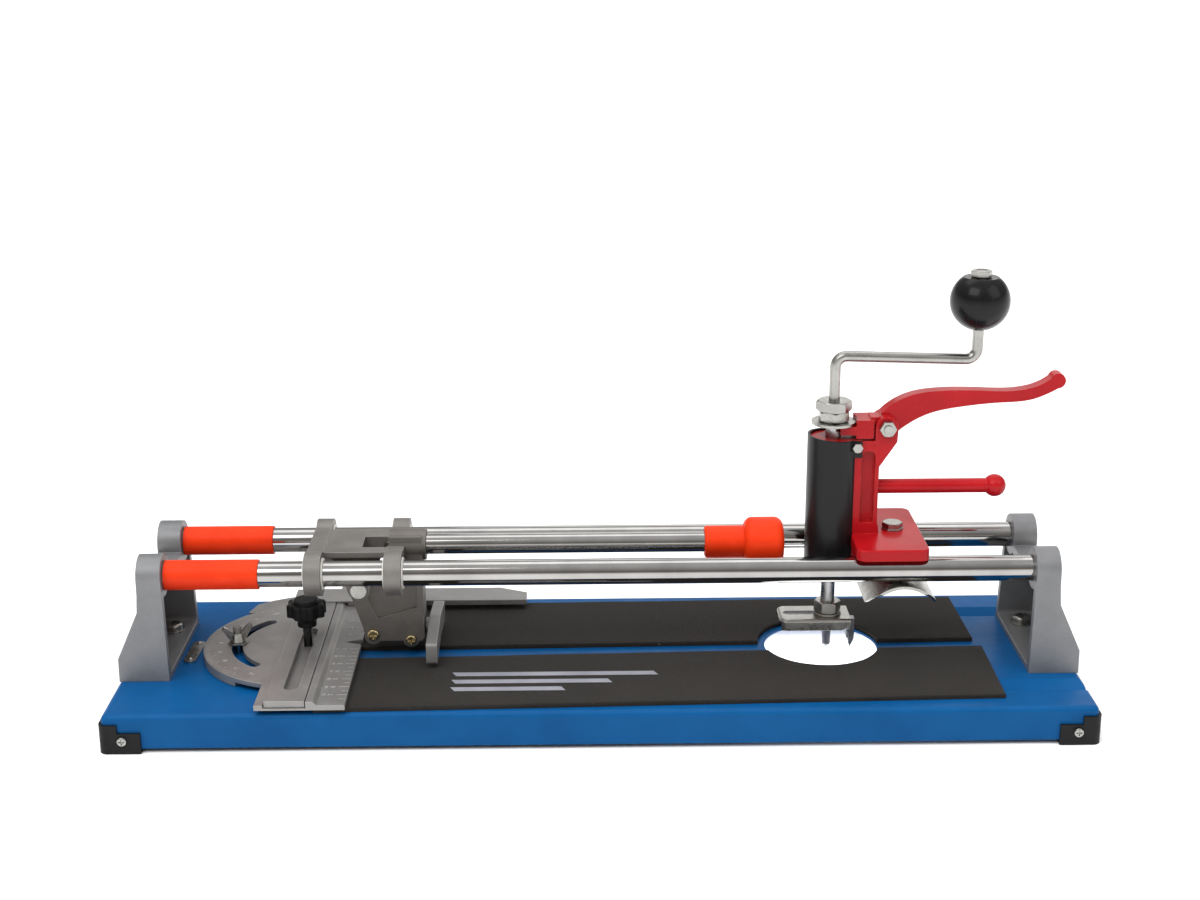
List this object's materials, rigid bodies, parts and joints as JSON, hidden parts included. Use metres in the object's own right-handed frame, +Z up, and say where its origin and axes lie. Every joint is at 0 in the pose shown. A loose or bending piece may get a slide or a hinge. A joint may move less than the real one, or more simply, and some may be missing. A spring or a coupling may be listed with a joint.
{
  "type": "tile cutter",
  "caption": "Manual tile cutter on a pressed steel base, with a scoring carriage on two rails, an angle protractor and a hand-cranked hole drill.",
  "frame": {"origin": "middle of the base, on the surface that the feet stand on", "axes": "+X along the rails towards the drill unit, +Y away from the user across the base, +Z up"},
  "size_m": [0.523, 0.166, 0.2353],
  "materials": {
    "blue_paint": "satin",
    "black_plastic": "matte",
    "foam": "matte",
    "cast_silver": "satin",
    "chrome_rail": "polished",
    "orange_plastic": "satin",
    "zinc": "satin",
    "gold_screw": "polished",
    "grey_casting": "satin",
    "dark_casting": "satin",
    "nylon": "satin",
    "steel": "satin",
    "carbide": "satin",
    "red_paint": "gloss",
    "black_cover": "satin",
    "black_gloss": "gloss",
    "bronze": "satin"
  },
  "bodies": {
    "base": {"base_tray": "blue_paint", "front_left_foot": "black_plastic", "front_right_foot": "black_plastic", "rear_left_foot": "black_plastic", "rear_right_foot": "black_plastic", "foot_screws": "zinc", "front_pad": "foam", "rear_pad": "foam", "right_bracket": "cast_silver", "left_bracket": "cast_silver", "bracket_bolts": "zinc", "bracket_washers": "zinc", "bracket_nuts": "zinc", "front_rail": "chrome_rail", "rear_rail": "chrome_rail", "front_sleeve": "orange_plastic", "rear_sleeve": "orange_plastic", "angle_pointer": "zinc", "pointer_rivets": "zinc", "pivot_stud": "zinc", "lock_stud": "zinc"},
    "carriage": {"cutter_carriage": "grey_casting", "rail_bushes": "nylon", "head_pin": "zinc"},
    "head": {"cutter_head": "dark_casting", "handle_tube": "chrome_rail", "handle_grip": "orange_plastic", "wheel_screw": "gold_screw", "foot_pin_screw": "gold_screw"},
    "wheel": {"scoring_wheel": "carbide"},
    "foot": {"breaker_foot": "grey_casting"},
    "protractor": {"protractor_ruler": "grey_casting"},
    "fence": {"slide_fence": "grey_casting"},
    "star": {"star_knob": "black_plastic"},
    "wing": {"wing_nut": "zinc", "wing_washer": "zinc"},
    "drill": {"drill_bracket": "red_paint", "barrel_cover": "black_cover", "cover_screws": "zinc", "clamp_bolt": "zinc", "clamp_saddle": "zinc", "clamp_nut": "zinc", "side_handle": "red_paint", "lever_pivot_bolt": "zinc", "lever_pivot_nut": "zinc", "lower_bush": "bronze", "return_spring": "steel"},
    "lever": {"squeeze_lever": "red_paint"},
    "lift": {"lift_washer": "zinc"},
    "spindle_group": {"spindle": "steel", "spindle_nuts": "zinc", "crank": "zinc", "knob_nut": "zinc", "arm_nuts": "zinc", "arm_washer": "zinc", "drill_bit": "carbide"},
    "arm": {"cutter_arm": "zinc", "cutter_tooth": "carbide"},
    "knob": {"ball_knob": "black_gloss"}
  },
  "joints": [
    {"name": "carriage_slide", "type": "slide", "parent": "base", "child": "carriage", "axis": [1, 0, 0], "range_m": [-0.015, 0.01]},
    {"name": "head_tilt", "type": "hinge", "parent": "carriage", "child": "head", "pos_m": [-0.132, 0.002, 0.062], "axis": [0, -1, 0], "range_deg": [0, 20]},
    {"name": "wheel_spin", "type": "hinge", "parent": "head", "child": "wheel", "pos_m": [-0.1255, 0.002, 0.0343], "axis": [0, 1, 0], "continuous": true},
    {"name": "foot_rock", "type": "hinge", "parent": "head", "child": "foot", "pos_m": [-0.091, 0.002, 0.0365], "axis": [1, 0, 0], "range_deg": [-2, 2]},
    {"name": "protractor_turn", "type": "hinge", "parent": "base", "child": "protractor", "pos_m": [-0.163, 0.002, 0.0265], "axis": [0, 0, 1], "range_deg": [-12, 15]},
    {"name": "fence_slide", "type": "slide", "parent": "protractor", "child": "fence", "axis": [0, 1, 0], "range_m": [-0.002, 0.05]},
    {"name": "star_knob_turn", "type": "hinge", "parent": "base", "child": "star", "pos_m": [-0.163, 0.002, 0.045], "axis": [0, 0, 1], "continuous": true},
    {"name": "wing_nut_turn", "type": "hinge", "parent": "base", "child": "wing", "pos_m": [-0.202, 0.002, 0.03], "axis": [0, 0, 1], "continuous": true},
    {"name": "drill_slide", "type": "slide", "parent": "base", "child": "drill", "axis": [1, 0, 0], "range_m": [0, 0.005]},
    {"name": "lever_squeeze", "type": "hinge", "parent": "drill", "child": "lever", "pos_m": [0.1555, 0.004, 0.151], "axis": [0, 1, 0], "range_deg": [0, 15], "stiffness_Nm_per_rad": 1.5, "springref_deg": -17.19},
    {"name": "spindle_lift", "type": "slide", "parent": "drill", "child": "lift", "axis": [0, 0, 1], "range_m": [0, 0.0067], "deforming": ["return_spring"]},
    {"name": "crank_turn", "type": "hinge", "parent": "lift", "child": "spindle_group", "pos_m": [0.1275, 0.004, 0.15], "axis": [0, 0, 1], "continuous": true},
    {"name": "arm_adjust", "type": "slide", "parent": "spindle_group", "child": "arm", "axis": [1, 0, 0], "range_m": [0, 0.006]},
    {"name": "ball_knob_turn", "type": "hinge", "parent": "spindle_group", "child": "knob", "pos_m": [0.2034, 0.004, 0.2187], "axis": [0, 0, 1], "continuous": true}
  ],
  "couplings": [
    {"joint": "spindle_lift", "follows": "lever_squeeze", "m_per_rad": 0.025}
  ]
}
